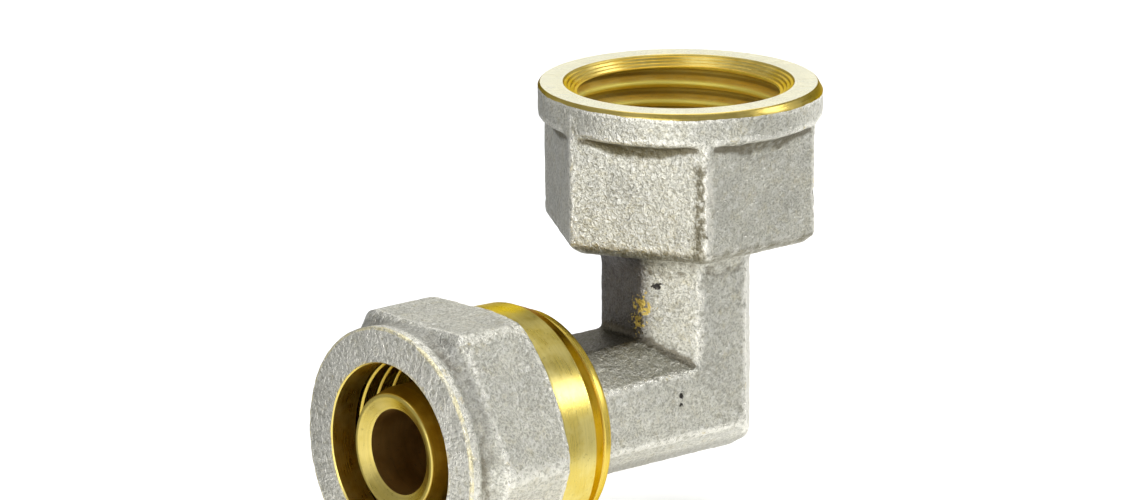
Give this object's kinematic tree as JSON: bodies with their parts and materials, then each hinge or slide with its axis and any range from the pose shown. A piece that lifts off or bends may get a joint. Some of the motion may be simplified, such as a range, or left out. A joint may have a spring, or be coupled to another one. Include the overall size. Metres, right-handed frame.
{
  "type": "compression fitting",
  "caption": "Elbow adaptor with a female pipe thread on one leg and a compression nut, split ring and sealed stem for plastic pipe on the other.",
  "frame": {"origin": "centre of the threaded socket's mouth, on the socket's axis and in its face", "axes": "+Z out of the threaded socket along its axis; the compression end points along -X, its axis 29 mm below the mouth; +Y completes the right-handed frame"},
  "size_m": [0.0477, 0.027, 0.0408],
  "materials": {
    "plated_body": "blasted, nickel plated, machined faces bare",
    "plated_nut": "blasted, nickel plated, rear band turned bare",
    "bare_brass": "turned",
    "seal_rubber": "satin",
    "white_plastic": "matte"
  },
  "bodies": {
    "elbow": {"elbow_body": "plated_body", "front_o_ring": "seal_rubber", "rear_o_ring": "seal_rubber", "insulating_washer": "white_plastic"},
    "ring": {"split_ring": "bare_brass"},
    "nut": {"compression_nut": "plated_nut"}
  },
  "joints": [
    {"name": "ring_slide", "type": "slide", "parent": "elbow", "child": "ring", "axis": [-1, 0, 0], "range_m": [0, 0.0075]},
    {"name": "nut_turn", "type": "hinge", "parent": "ring", "child": "nut", "pos_m": [-0.0265, 0, -0.029], "axis": [-1, 0, 0], "range_deg": [0, 1800]}
  ],
  "couplings": [
    {"joint": "ring_slide", "follows": "nut_turn", "m_per_rad": 0.00023873}
  ]
}
